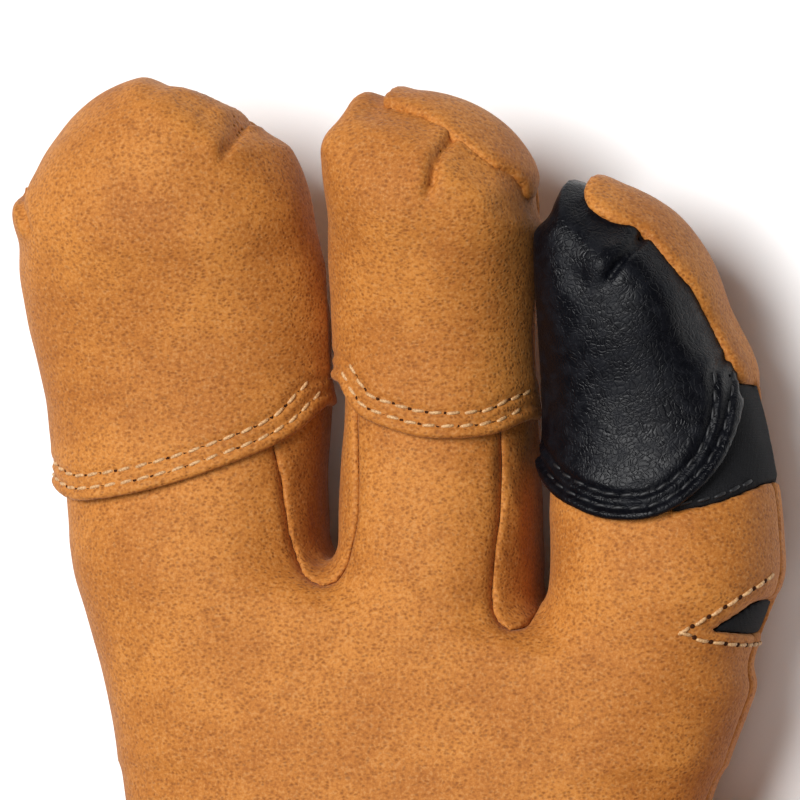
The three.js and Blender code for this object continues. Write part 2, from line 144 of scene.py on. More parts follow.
class Sheath:
    """A finger sheath whose middle line bends up towards its tip. rows: shares of the named sizes."""

    SQUARE = 2.35
    ROOT_SIZE = 0.8
    ROUNDING = 0.04
    TIP_WRAP = 13.0
    WRAP_SPAN = (0.5, 0.95)

    def __init__(self, center, width, depth, length, curl, root, tuck, dome_drift, close, rows):
        self.center, self.width, self.length = center, width, length
        first = rows[0]
        buried = {
            "along": -root / length,
            "drift": tuck,
            "broad": first["broad"] * self.ROOT_SIZE,
            "deep": first["deep"] * self.ROOT_SIZE,
        }
        rows = [buried] + rows
        self.curl = math.radians(curl)
        self.close = close
        share = np.linspace(-root / length, 1.5, 500)
        lean = self.curl * np.maximum(share, 0) ** 2
        step = (share[1] - share[0]) * length
        y = np.cumsum(np.cos(lean)) * step
        z = np.cumsum(np.sin(lean)) * step
        self.share = share
        self.y = y - np.interp(0, share, y)
        self.z = z - np.interp(0, share, z) + MID_HEIGHT
        self.dome_start = rows[-1]["along"]
        self.dome = (1 - self.dome_start) * length
        drift, broad, deep = (smooth_column(rows, "along", name, share, self.ROUNDING)
                              for name in ("drift", "broad", "deep"))
        rise = np.clip((share - self.dome_start) / (1 - self.dome_start), 0, 1.2)
        drift = drift + (dome_drift - rows[-1]["drift"]) * rise ** 2
        self.drift = drift * width
        self.half_width = broad * width / 2
        self.half_depth = deep * depth / 2

    def offset(self, share, y, z):
        """How far a point lies along and above the middle line at a share of the length."""
        lean = self.curl * np.maximum(share, 0) ** 2
        dy = y - np.interp(share, self.share, self.y)
        dz = z - np.interp(share, self.share, self.z)
        return dy * np.cos(lean) + dz * np.sin(lean), dz * np.cos(lean) - dy * np.sin(lean)

    def place(self, y, z):
        """The share of the length whose section a point lies in, and its height in that section."""
        share = np.interp(y, self.y, self.share)
        for _ in range(4):
            share = share + self.offset(share, y, z)[0] / self.length
            share = np.clip(share, self.share[0], self.share[-1])
        return share, self.offset(share, y, z)[1]

    def distance(self, x, y, z):
        share, v = self.place(y, z)
        u = x - self.center - np.interp(share, self.share, self.drift)
        w = (share - self.dome_start) * self.length
        half_width = np.interp(share, self.share, self.half_width)
        half_depth = np.interp(share, self.share, self.half_depth)
        near = section_distance(u, v, w, half_width, half_depth, self.dome, self.SQUARE, self.close)
        behind = self.y[0] - y
        return np.maximum(near, behind)

    def seam_height(self, y, z):
        """How far a place lies above the side seam, which runs behind the fingertip."""
        share, high = self.place(y, z)
        return high + self.TIP_WRAP * ramp(share, *self.WRAP_SPAN)

    def plan_point(self, across, up):
        """A point of the plan: across in half widths from the centre, up in lengths from the knuckles."""
        drift = np.interp(min(up, self.dome_start), self.share, self.drift)
        return (self.center + drift + across * self.width / 2, up * self.length)


def rows_of(*rows):
    return [dict(zip(("along", "drift", "broad", "deep"), row)) for row in rows]


WIDE = Sheath(
    center=-HALF_KNUCKLE + WIDE_WIDTH / 2, width=WIDE_WIDTH, depth=33.0, length=84.5,
    curl=44.0, root=30.0, tuck=0.16, dome_drift=-0.02, close=1.68,
    rows=rows_of(
        (0.0, 0.02, 0.97, 1.2),
        (0.17, 0.0, 1.0, 1.1),
        (0.35, 0.0, 1.06, 1.03),
        (0.52, -0.028, 1.125, 1.0),
        (0.64, -0.055, 1.12, 1.0),
        (0.74, -0.055, 1.03, 1.0),
    ),
)
MIDDLE = Sheath(
    center=-HALF_KNUCKLE + WIDE_WIDTH + WIDE_GAP + MIDDLE_WIDTH / 2, width=MIDDLE_WIDTH,
    depth=31.0, length=81.0, curl=42.0, root=30.0, tuck=0.0, dome_drift=-0.08, close=2.3,
    rows=rows_of(
        (0.0, 0.0, 1.0, 1.24),
        (0.16, 0.0, 0.99, 1.12),
        (0.34, 0.0, 0.94, 1.03),
        (0.52, 0.01, 0.93, 1.0),
        (0.68, 0.03, 0.96, 1.0),
        (0.8, 0.055, 0.96, 1.0),
    ),
)
INDEX = Sheath(
    center=HALF_KNUCKLE - INDEX_WIDTH / 2, width=INDEX_WIDTH, depth=31.0, length=66.5,
    curl=40.0, root=30.0, tuck=-0.2, dome_drift=-0.27, close=2.0,
    rows=rows_of(
        (0.0, 0.025, 1.03, 1.24),
        (0.18, 0.01, 1.02, 1.12),
        (0.38, -0.01, 0.94, 1.03),
        (0.54, -0.05, 0.86, 1.0),
        (0.66, -0.11, 0.74, 1.0),
    ),
)
THUMB = Sheath(
    center=0.0, width=35.0, depth=32.0, length=100.2,
    curl=16.0, root=10.0, tuck=0.0, dome_drift=0.0, close=2.1,
    rows=rows_of(
        (0.0, 0.0, 1.05, 0.9),
        (0.3, 0.0, 1.16, 1.06),
        (0.5, 0.0, 1.04, 1.02),
        (0.7, 0.0, 1.0, 1.0),
        (0.82, 0.0, 1.0, 1.0),
    ),
)
WEB_MIDDLE = (WIDE.center + WIDE.width / 2 + INDEX.center - INDEX.width / 2) / 2

# Up the hand from the wrist. Each side's width is 0 as at the knuckles, 1 at the wrist, 2 at the opening
HAND_COLUMNS = ("along", "little", "index", "edge", "deep", "square", "slant")
HAND_ROWS = [dict(zip(HAND_COLUMNS, row)) for row in (
    (0.0, 2.0, 2.0, 1.0, 1.0, 2.5, 0.0),
    (0.07, 1.78, 1.78, 1.0, 1.0, 2.5, 0.0),
    (0.16, 1.4, 1.4, 0.6, 1.0, 2.5, 0.0),
    (0.28, 1.0, 1.0, 0.2, 1.0, 2.5, 0.0),
    (0.46, 0.86, 0.82, 0.0, 1.0, 2.6, 0.0),
    (0.62, 0.7, 0.76, 0.0, 1.0, 2.7, 0.0),
    (0.76, 0.52, 0.66, 0.0, 1.0, 2.8, 0.2),
    (0.86, 0.36, 0.38, 0.0, 0.97, 2.9, 0.6),
    (0.935, 0.24, 0.2, 0.0, 0.925, 2.9, 1.0),
)]


class Hand:
    """The hand from the wrist edge to the closed end between the sheaths."""

    ROUNDING = 0.03

    def __init__(self):
        along = np.linspace(-0.2, 1.2, 400)
        self.y = (along - 1) * PALM_LENGTH
        columns = {name: smooth_column(HAND_ROWS, "along", name, along, self.ROUNDING)
                   for name in HAND_COLUMNS[1:]}
        widths = [HALF_KNUCKLE, WRIST_WIDTH / 2, OPENING_WIDTH / 2]
        self.left = np.interp(columns["little"], [0, 1, 2], widths)
        self.right = np.interp(columns["index"], [0, 1, 2], widths)
        self.full = (HAND_DEPTH + (OPENING_DEPTH - HAND_DEPTH) * columns["edge"]) / 2
        self.base = (HEM_WALL + SEAM_GAP) * columns["edge"]
        self.deep = columns["deep"]
        self.square = columns["square"]
        self.slant = np.tan(np.radians(KNUCKLE_SLANT * columns["slant"]))
        self.foot = (HAND_ROWS[-1]["along"] - 1) * PALM_LENGTH

    def distance(self, x, y, z):
        level = y + (x - WEB_MIDDLE) * np.interp(y, self.y, self.slant)
        curves = (self.left, self.right, self.full, self.base, self.deep, self.square)
        left, right, full, base, deep, square = (np.interp(level, self.y, curve) for curve in curves)
        u = x - (right - left) / 2
        v = z - (full * (1 - REST_FLAT) + base)
        w = level - self.foot
        tube = section_distance(u, v, w, (right + left) / 2, full * deep, CROTCH_ROUND, square, 2.0)
        return smooth_max(tube, base - z, FLAT_JOIN)


HAND = Hand()
TURN = math.radians(-THUMB_SPREAD)
TILT = math.radians(THUMB_RISE)


def thumb_distance(x, y, z):
    """Distance to the thumb's sheath, which is turned out and up from its root."""
    dx, dy, dz = x - THUMB_ROOT[0], y - THUMB_ROOT[1], z - MID_HEIGHT
    along = -dx * math.sin(TURN) + dy * math.cos(TURN)
    side = dx * math.cos(TURN) + dy * math.sin(TURN)
    reach = along * math.cos(TILT) + dz * math.sin(TILT)
    high = dz * math.cos(TILT) - along * math.sin(TILT)
    return THUMB.distance(side, reach, high + MID_HEIGHT)


def sheaths_distance(x, y, z):
    near = np.minimum(WIDE.distance(x, y, z), MIDDLE.distance(x, y, z))
    return np.minimum(near, INDEX.distance(x, y, z))


def body_distance(x, y, z):
    """The mitt's outer face without its thumb."""
    return smooth_min(HAND.distance(x, y, z), sheaths_distance(x, y, z), SHEATH_JOIN)


# Lattice noise for soft, uneven leather
NOISE_CELLS = 64
NOISE = np.random.default_rng(11).uniform(-1, 1, (NOISE_CELLS,) * 3).astype(np.float32)
WAVE_SIZE = 17.0
RIPPLE_SIZE = 6.0
RIPPLE_SHIFT = 40
GATHER_SIZE = 3.2


def noise(x, y, z, size):
    """Smooth noise between -1 and 1 on cells of a size."""
    total = 0
    cells = [np.floor(c / size).astype(np.int64) for c in (x, y, z)]
    shares = [c / size - n for c, n in zip((x, y, z), cells)]
    shares = [s * s * (3 - 2 * s) for s in shares]
    for corner in range(8):
        bits = (corner & 1, corner >> 1 & 1, corner >> 2 & 1)
        weight = 1
        for bit, share in zip(bits, shares):
            weight = weight * (share if bit else 1 - share)
        index = [(n + bit) % NOISE_CELLS for n, bit in zip(cells, bits)]
        total = total + weight * NOISE[index[0], index[1], index[2]]
    return total


def unevenness(x, y, z, waves, ripples):
    """The softness of worn leather, by the heights of its waves and ripples."""
    return waves * noise(x, y, z, WAVE_SIZE) + ripples * noise(x + RIPPLE_SHIFT, y, z, RIPPLE_SIZE)


def outer_distance(x, y, z):
    """The whole outer face, with the soft unevenness of worn leather."""
    joined = smooth_min(body_distance(x, y, z), thumb_distance(x, y, z), THUMB_JOIN)
    return np.maximum(joined + unevenness(x, y, z, 0.35, 0.12), -z)


RAY_STEPS = 120
RAY_START = VIEW_DISTANCE - 60.0
RAY_END = VIEW_DISTANCE + 30.0


def surface_points(pixels, lift, field=body_distance):
    """Where the rays through photo pixels meet the mitt's face, or pass nearest to it, raised by lift."""
    pixels = np.array(pixels, float)
    across = (pixels[:, 0] - PHOTO_PIXELS / 2) * PIXEL
    up = (PHOTO_PIXELS / 2 - pixels[:, 1]) * PIXEL
    target = VIEW_CENTER + across[:, None] * VIEW_RIGHT + up[:, None] * VIEW_UP
    ray = target - EYE
    ray /= np.linalg.norm(ray, axis=1)[:, None]
    travel = np.full(len(pixels), RAY_START)
    best = np.full(len(pixels), 1e9)
    best_travel = travel.copy()
    for _ in range(RAY_STEPS):
        point = EYE + travel[:, None] * ray
        gap = field(*point.T) - lift
        closer = np.abs(gap) < best
        best = np.where(closer, np.abs(gap), best)
        best_travel = np.where(closer, travel, best_travel)
        travel = travel + np.clip(gap, -2.0, 6.0) * 0.7
        travel = np.minimum(travel, RAY_END)
    return EYE + best_travel[:, None] * ray


def curve_through(points, step):
    """A smooth curve through points, with an even step along it."""
    points = np.asarray(points, float)
    padded = np.vstack([2 * points[0] - points[1], points, 2 * points[-1] - points[-2]])
    dense = []
    for i in range(1, len(padded) - 2):
        p0, p1, p2, p3 = padded[i - 1:i + 3]
        for t in np.linspace(0, 1, 24, endpoint=False):
            dense.append(0.5 * (
                2 * p1 + (p2 - p0) * t + (2 * p0 - 5 * p1 + 4 * p2 - p3) * t * t
                + (3 * p1 - p0 - 3 * p2 + p3) * t ** 3))
    dense.append(points[-1])
    dense = np.array(dense)
    lengths = np.concatenate([[0], np.cumsum(np.linalg.norm(np.diff(dense, axis=0), axis=1))])
    count = max(2, int(round(lengths[-1] / step)) + 1)
    at = np.linspace(0, lengths[-1], count)
    return np.stack([np.interp(at, lengths, dense[:, i]) for i in range(dense.shape[1])], 1)


def segment_gap(x, y, a, edge):
    """The squared distance to a segment from a along edge, and the nearest place's share along it."""
    share = ((x - a[0]) * edge[0] + (y - a[1]) * edge[1]) / max(edge @ edge, 1e-9)
    share = np.clip(share, 0, 1)
    return (x - a[0] - share * edge[0]) ** 2 + (y - a[1] - share * edge[1]) ** 2, share


def outline_distance(x, y, outline):
    """Signed distance to a closed outline drawn from above, below 0 inside."""
    outline = np.asarray(outline, float)
    shape = np.broadcast(x, y).shape
    best = np.full(shape, 1e9)
    inside = np.zeros(shape, bool)
    for a, b in zip(outline, np.roll(outline, -1, axis=0)):
        edge = b - a
        best = np.minimum(best, segment_gap(x, y, a, edge)[0])
        if a[1] != b[1]:
            crosses = (y < a[1]) != (y < b[1])
            inside ^= crosses & (x < a[0] + (y - a[1]) * edge[0] / edge[1])
    return np.where(inside, -1, 1) * np.sqrt(best)


def plan(pixels, lift=0.0, step=2.5):
    """The line through photo pixels as it runs on the mitt, drawn from above."""
    return curve_through(surface_points(curve_through(pixels, 12.0), lift)[:, :2], step)


# Seams as they show in the photograph, in its pixels
TIP_INDEX_PX = [(773, 440), (757, 400), (745, 380), (735, 365), (715, 330), (700, 296), (683, 277),
                (667, 261), (651, 241), (636, 227), (622, 225), (601, 215), (588, 205), (584, 193)]
TIP_MIDDLE_PX = [(542, 204), (533, 194), (520, 181), (509, 171), (495, 167), (472, 151), (450, 135),
                 (437, 125), (424, 116), (403, 109), (382, 105)]
TIP_WIDE_PX = [(250, 127), (240, 124), (231, 121), (221, 108), (204, 98), (187, 89), (174, 84)]
POCKET_PX = {
    "wide_gusset": [(271, 430), (272, 450), (279, 478), (286, 525), (292, 552), (301, 575), (319, 587),
                    (333, 584), (344, 570), (350, 550), (356, 525), (358, 494), (357, 445), (356, 425)],
    "narrow_gusset": [(498, 430), (498, 496), (493, 552), (489, 590), (490, 612), (498, 627), (511, 632),
                      (525, 627), (536, 608), (542, 574), (546, 534), (546, 496), (545, 450)],
}
HEM_PX = {
    "wide_cap": [(50, 487), (62, 497), (80, 502), (130, 495), (180, 482), (230, 465), (275, 447),
                 (310, 425), (335, 399)],
    "middle_cap": [(338, 384), (345, 400), (357, 417), (384, 429), (417, 438), (446, 440), (473, 439),
                   (498, 435), (518, 428), (541, 416)],
    "index_cap": [(545, 488), (555, 499), (570, 508), (600, 520), (640, 522), (665, 515), (690, 500),
                  (720, 470), (740, 430), (748, 390), (748, 375)],
}
PATCH_LOW_PX = [(672, 512), (690, 508), (715, 503), (740, 493), (772, 478)]
INSERT_PX = [(708, 631), (740, 610), (776, 585), (776, 637), (740, 634)]
VENT_STITCH_PX = {
    "vent_stitches_1": [(770, 577), (748, 592), (715, 613), (684, 631)],
    "vent_stitches_2": [(686, 634), (700, 640), (720, 643), (745, 645), (770, 646)],
}
# How far outlines reach past what the photograph shows, where another piece or the side hides them, in mm
CAP_SPREAD = 14.0
CAP_SIDE_RISE = 3
INDEX_CAP_SPREAD = 24
INDEX_CAP_RISE = 6
POCKET_RISE = 26.0
TIP_SIDE = 6
TIP_SIDE_DROP = 4
MIDDLE_SIDE = 3.2
MIDDLE_RISE = 14
INDEX_RISE = 12
PATCH_TOP = 32
PATCH_SPREAD = 12
INSERT_SPREAD = 8


def section_height(x, y, z):
    """Height above the side seam of the sheath that a place is in line with."""
    after_wide = WIDE.center + (WIDE.width + WIDE_GAP) / 2
    after_middle = INDEX.center - (INDEX.width + INDEX_GAP) / 2
    right = np.where(x < after_middle, MIDDLE.seam_height(y, z), INDEX.seam_height(y, z))
    return np.where(x < after_wide, WIDE.seam_height(y, z), right)


def front_outline():
    """The plan of the front: up the little-finger side, over the three tips, down the index side."""
    index, middle, wide = plan(TIP_INDEX_PX), plan(TIP_MIDDLE_PX), plan(TIP_WIDE_PX)
    return [
        (-FAR, -FAR), (FAR, -FAR), (FAR, index[0][1] - TIP_SIDE_DROP),
        (index[0][0] + TIP_SIDE, index[0][1] - TIP_SIDE_DROP),
        *index, (index[-1][0], index[-1][1] + INDEX_RISE),
        (middle[0][0] + MIDDLE_SIDE, middle[0][1] + MIDDLE_RISE),
        (middle[0][0] + MIDDLE_SIDE, middle[0][1] - 1),
        *middle, MIDDLE.plan_point(-0.3, 1.15), MIDDLE.plan_point(-1.12, 1.15),
        (wide[0][0] + CAP_SPREAD, wide[0][1] + CAP_SIDE_RISE),
        *wide, WIDE.plan_point(-0.2, 1.2), (-FAR, 1.2 * WIDE.length),
    ]


def pocket_outline(pixels):
    """The plan of the strip between two sheaths, carried on up under the caps."""
    line = plan(pixels)
    return [(line[0][0], line[0][1] + POCKET_RISE), *line, (line[-1][0], line[-1][1] + POCKET_RISE)]


def cap_outline(line):
    """The plan of a cap: its hem, carried out on both sides and up past the fingertip."""
    (left_x, left_y), (right_x, right_y) = line[0], line[-1]
    return [(left_x - CAP_SPREAD, left_y + CAP_SIDE_RISE), *line,
            (right_x + CAP_SPREAD, right_y + CAP_SIDE_RISE),
            (right_x + CAP_SPREAD, FAR), (left_x - CAP_SPREAD, FAR)]


FRONT = front_outline()
POCKETS = {name: pocket_outline(pixels) for name, pixels in POCKET_PX.items()}
HEMS = {name: plan(pixels, CAP_REACH) for name, pixels in HEM_PX.items()}
CAP_SHEATHS = {"wide_cap": WIDE, "middle_cap": MIDDLE, "index_cap": INDEX}
CAPS = {
    "wide_cap": cap_outline(HEMS["wide_cap"]),
    "middle_cap": cap_outline(HEMS["middle_cap"]),
    "index_cap": [*HEMS["index_cap"], (FAR, 30), (FAR, FAR), (INDEX.center - INDEX_CAP_SPREAD, FAR),
                  (INDEX.center - INDEX_CAP_SPREAD, HEMS["index_cap"][0][1] + INDEX_CAP_RISE)],
}
PATCH_LOW = plan(PATCH_LOW_PX)
PATCH = [*PATCH_LOW, (PATCH_LOW[-1][0] + PATCH_SPREAD, PATCH_LOW[-1][1]),
         (PATCH_LOW[-1][0] + PATCH_SPREAD, PATCH_TOP), (PATCH_LOW[0][0] + 3, PATCH_TOP),
         (PATCH_LOW[0][0] - 3, PATCH_LOW[0][1] + 4)]
INSERT_PLAN = plan(INSERT_PX + INSERT_PX[:1])
INSERT = [p + (INSERT_SPREAD if p[0] > HALF_KNUCKLE - 1.5 else 0, 0) for p in INSERT_PLAN]


# How the leather is cut and finished, in millimetres
FACE_REACH = 5.0
SLIT = -0.06
TIP_THICKER = 0.9
ROLL = 1.4
THIN_ROLL = 0.9
CAP_ROLL = 1.1
SIDE_LAP = 7.0
TIP_PUFF = 1.3
TIP_PUFF_REACH = 4.0
TIP_SINK = 1.9
TIP_LAP = 1.3
CAP_PRESS = 2.0
CAP_LINING = 0.7
CAP_UNDERLAP = 3
PATCH_SINK = 0.15
INSERT_SINK = 0.9
# Spans over which these set in: up the hand, and in from a cap's hem
TIP_SPAN = (26, 38)
LAP_SPAN = (32, 38)
THICK_SPAN = (35, 55)
PRESS_SPAN = (1.5, 4.5)
LINING_SPAN = (1.0, 4.0)


def front_region(x, y, z):
    """Below 0 on the front pieces' side of the side seams and the tip seams."""
    return np.maximum(outline_distance(x, y, FRONT), -section_height(x, y, z))


def at_face(region, distance, x, y, z):
    """A region's field for a lattice, cut square to the face that distance gives."""
    step = x[1, 0, 0] - x[0, 0, 0]
    slopes = np.gradient(distance, step)
    power = np.maximum(sum(slope * slope for slope in slopes), 0.2)
    near = np.abs(distance) < FACE_REACH
    shift = (distance / power)[near]
    places = [np.broadcast_to(c, distance.shape)[near] - shift * slope[near]
              for c, slope in zip((x, y, z), slopes)]
    field = np.zeros(distance.shape)
    field[near] = region(*places)
    return field


def layer(distance, inner, outer):
    """Below 0 between two depths of the leather, counted outwards."""
    return np.abs(distance - (inner + outer) / 2) - (outer - inner) / 2


def panel(distance, region, low=-WALL, high=0.0, roll=ROLL):
    """A piece of leather cut to a region, with the outer edge rolled over."""
    return np.maximum(smooth_max(distance - high, region + SLIT, roll), low - distance)


def pucker(x, y, z, edge, reach=4.0, height=0.3):
    """Small gathers that fade away from a seam."""
    return height * noise(x, y, z, GATHER_SIZE) * np.exp(-(edge / reach) ** 2)


def thumb_side(x, y, z):
    """Below 0 on the thumb's side of the seam round its root."""
    return (thumb_distance(x, y, z) - body_distance(x, y, z)) / 2


def pocket_distance(x, y):
    """Below 0 over the strips between the sheaths."""
    return np.min([outline_distance(x, y, outline) for outline in POCKETS.values()], axis=0)


def cap_cover(x, y, z):
    """Above 0 under the caps, by the distance from their hems."""
    cover = np.max([-outline_distance(x, y, outline) for outline in CAPS.values()], axis=0)
    return np.minimum(cover, -front_region(x, y, z) + CAP_UNDERLAP)


def patch_region(x, y, z):
    """The soft-shell patch, which laps round the side of the index sheath."""
    region = np.maximum(outline_distance(x, y, PATCH), -section_height(x, y, z) - SIDE_LAP)
    return np.maximum(region, outline_distance(x, y, FRONT))


def insert_region(x, y, z):
    return np.maximum(outline_distance(x, y, INSERT), -section_height(x, y, z) - SIDE_LAP)


def less_others(region, x, y, z):
    """A main panel's region less the strips, the patch, the insert and the thumb, down to the wrist."""
    region = np.maximum(region, -pocket_distance(x, y))
    region = np.maximum(region, -np.minimum(patch_region(x, y, z), insert_region(x, y, z)))
    region = np.maximum(region, -thumb_side(x, y, z))
    return np.maximum(region, -PALM_LENGTH - y)


def main_panel(distance, region, y):
    """A main panel, whose wall is thicker inside at the tips."""
    return panel(distance, region, -WALL - TIP_THICKER * ramp(y, *THICK_SPAN))


def palm_field(x, y, z):
    outer = outer_distance(x, y, z)
    region = less_others(at_face(front_region, outer, x, y, z), x, y, z)
    distance = outer - pucker(x, y, z, pocket_distance(x, y))
    return main_panel(distance + CAP_PRESS * ramp(cap_cover(x, y, z), *PRESS_SPAN), region, y)


def back_field(x, y, z):
    outer = outer_distance(x, y, z)
    front = at_face(front_region, outer, x, y, z)
    puff = TIP_PUFF * np.exp(-(outline_distance(x, y, FRONT) / TIP_PUFF_REACH) ** 2) * ramp(y, *TIP_SPAN)
    distance = outer - puff - pucker(x, y, z, front, reach=3.0, height=0.2)
    return main_panel(distance, less_others(-front, x, y, z), y)


def gusset_field(name):
    """The field of the strip between two sheaths."""
    def field(x, y, z):
        edge = outline_distance(x, y, POCKETS[name])
        return panel(outer_distance(x, y, z) - pucker(x, y, z, edge), edge)
    return field


def patch_field(x, y, z):
    return panel(outer_distance(x, y, z), patch_region(x, y, z), -WALL, -PATCH_SINK, THIN_ROLL)


def insert_field(x, y, z):
    return panel(outer_distance(x, y, z), insert_region(x, y, z), -WALL, -INSERT_SINK, THIN_ROLL)


def line_distance(x, y, line):
    """Distance to an open line drawn from above, its side, above 0 on its left, and the share along it."""
    shape = np.broadcast(x, y).shape
    best = np.full(shape, 1e9)
    side = np.zeros(shape)
    share = np.zeros(shape)
    count = len(line) - 1
    for i, (a, b) in enumerate(zip(line, line[1:])):
        edge = b - a
        gap, along = segment_gap(x, y, a, edge)
        turn = edge[0] * (y - a[1]) - edge[1] * (x - a[0])
        nearer = gap < best
        best = np.where(nearer, gap, best)
        side = np.where(nearer, np.sign(turn), side)
        share = np.where(nearer, (i + along) / count, share)
    return np.sqrt(best), side, share


# Darts and folds at the fingertips: each a crease, which deepens the leather, and a ridge on one side
DARTS = {
    "wide_cap": [
        {"pixels": [(230, 114), (229, 135), (224, 148), (220, 164)], "deep": 1.5, "ridge": 0.6},
        {"pixels": [(23, 195), (25, 210), (28, 224), (33, 236)], "deep": 0.7, "ridge": 0.9},
    ],
    "middle_cap": [
        {"pixels": [(451, 134), (442, 148), (436, 159), (433, 172), (431, 186), (421, 205)],
         "deep": 1.7, "ridge": 1.0},
    ],
    "index_cap": [
        {"pixels": [(642, 231), (632, 248), (617, 265), (605, 282), (601, 292)], "deep": 1.3, "ridge": 0.7},
    ],
}
DART_FADE = 0.35
FAR_RIDGE = 0.35
RIDGE_PLACE = 2.0
RIDGE_WIDTH = 1.7
CREASE_WIDTH = 0.65
# Soft swellings and hollows near the tips
DENTS = {
    "wide_cap": [
        {"pixel": (20, 216), "size": 4.2, "high": 1.3},
        {"pixel": (24, 192), "size": 2.2, "high": -0.4},
        {"pixel": (165, 84), "size": 6.5, "high": 0.6},
        {"pixel": (252, 165), "size": 9.0, "high": -1.0},
        {"pixel": (205, 185), "size": 6.0, "high": -0.5},
    ],
    "middle_cap": [
        {"pixel": (330, 148), "size": 4.0, "high": 1.2},
        {"pixel": (326, 163), "size": 2.0, "high": -0.5},
        {"pixel": (436, 222), "size": 5.0, "high": -0.9},
        {"pixel": (455, 200), "size": 4.5, "high": 0.7},
        {"pixel": (408, 170), "size": 6.0, "high": 0.5},
    ],
    "index_cap": [
        {"pixel": (592, 262), "size": 3.4, "high": 0.8},
        {"pixel": (575, 275), "size": 3.0, "high": -0.7},
        {"pixel": (650, 262), "size": 5.0, "high": 0.5},
        {"pixel": (590, 310), "size": 6.0, "high": -0.5},
    ],
}


def relief(name):
    """How far the darts, swellings and hollows of a cap raise it, as a function of the place."""
    darts = [(dart, plan(dart["pixels"], CAP_REACH, 0.8)) for dart in DARTS[name]]
    dents = [(dent, surface_points([dent["pixel"]], CAP_REACH)[0]) for dent in DENTS[name]]

    def height(x, y, z):
        total = 0
        for dart, line in darts:
            gap, side, share = line_distance(x, y, line)
            fade = ramp(1 - share, 0.0, DART_FADE)
            ridge = np.where(side < 0, 1.0, FAR_RIDGE) * np.exp(-((gap - RIDGE_PLACE) / RIDGE_WIDTH) ** 2)
            crease = np.exp(-(gap / CREASE_WIDTH) ** 2)
            total = total + (dart["ridge"] * ridge - dart["deep"] * crease) * fade
        for dent, (px, py, pz) in dents:
            far = ((x - px) ** 2 + (y - py) ** 2 + (z - pz) ** 2) / dent["size"] ** 2
            total = total + dent["high"] * np.exp(-far)
        return total
    return height


# Rolls and stitched grooves along a cap's hem: inset, width and height
HEM_RELIEF = [(1.1, 1.1, 0.5), (2.3, 0.5, -0.35), (3.4, 0.6, 0.18), (4.5, 0.5, -0.35), (5.8, 1.0, 0.12)]
HEM_STRENGTH = {"wide_cap": 1.0, "middle_cap": 1.0, "index_cap": 1.7}
ROW_INSETS = (2.3, 4.5)
# Spans over which a cap's relief sets in: above the side seam, from the tip seam and in from the hem
HEM_SPAN = (-1.0, 7.0)
SINK_SPAN = (0.0, 5.0)
RELIEF_SPAN = (3.0, 8.0)


def cap_surface(name):
    """The outer face of a cap, as a distance."""
    sheath, outline, height = CAP_SHEATHS[name], CAPS[name], relief(name)

    def field(x, y, z):
        inset = -outline_distance(x, y, outline)
        tip = -front_region(x, y, z)
        puff = sum(high * np.exp(-((inset - place) / wide) ** 2) for place, wide, high in HEM_RELIEF)
        puff = puff * ramp(section_height(x, y, z), *HEM_SPAN)
        sink = (TIP_SINK * (1 - ramp(tip, *SINK_SPAN)) + ramp(-tip, 0.0, TIP_LAP)) * ramp(y, *TIP_SPAN)
        uneven = unevenness(x, y, z, 0.4, 0.14) + pucker(x, y, z, tip, reach=4.0, height=0.25)
        lift = CAP_REACH + puff * HEM_STRENGTH[name] - sink + height(x, y, z) * ramp(inset, *RELIEF_SPAN)
        return sheath.distance(x, y, z) - lift - uneven
    return field


def cap_field(name):
    """The field of a cap, which laps under the back panel at the tip."""
    surface = cap_surface(name)

    def cap_region(x, y, z):
        front = front_region(x, y, z) - TIP_LAP * ramp(y, *LAP_SPAN)
        return np.maximum(outline_distance(x, y, CAPS[name]), front)

    def field(x, y, z):
        distance = surface(x, y, z)
        region = at_face(cap_region, distance, x, y, z)
        return panel(distance, region, -CAP_WALL - CAP_LINING * ramp(-region, *LINING_SPAN), 0.0, CAP_ROLL)
    return field


def thumb_field(x, y, z):
    region = np.maximum(thumb_side(x, y, z), -PALM_LENGTH - y)
    return panel(outer_distance(x, y, z), region)


def hem_field(x, y, z):
    """The folded hem outside and round the wrist's edge."""
    distance = outer_distance(x, y, z)
    past = np.maximum(-PALM_LENGTH - y, 0)
    round_edge = np.hypot(distance + WALL / 2, past)
    strip = layer(round_edge, WALL / 2 + SEAM_GAP, WALL / 2 + SEAM_GAP + HEM_WALL)
    return smooth_max(strip, y - (HEM_DEPTH - PALM_LENGTH), THIN_ROLL)


# How far past its solid's box a piece is meshed
BOX_MARGIN = 7.0
CELL_CORNERS = np.array([(i & 1, i >> 1 & 1, i >> 2 & 1) for i in range(8)])
CELL_EDGES = [(a, b) for a in range(8) for b in range(a + 1, 8)
              if np.abs(CELL_CORNERS[a] - CELL_CORNERS[b]).sum() == 1]


def lattice(low, high, step):
    """Axes of a grid over a box, shaped so that a field of them fills the grid."""
    axes = [np.arange(a, b + step, step) for a, b in zip(low, high)]
    return axes[0][:, None, None], axes[1][None, :, None], axes[2][None, None, :]


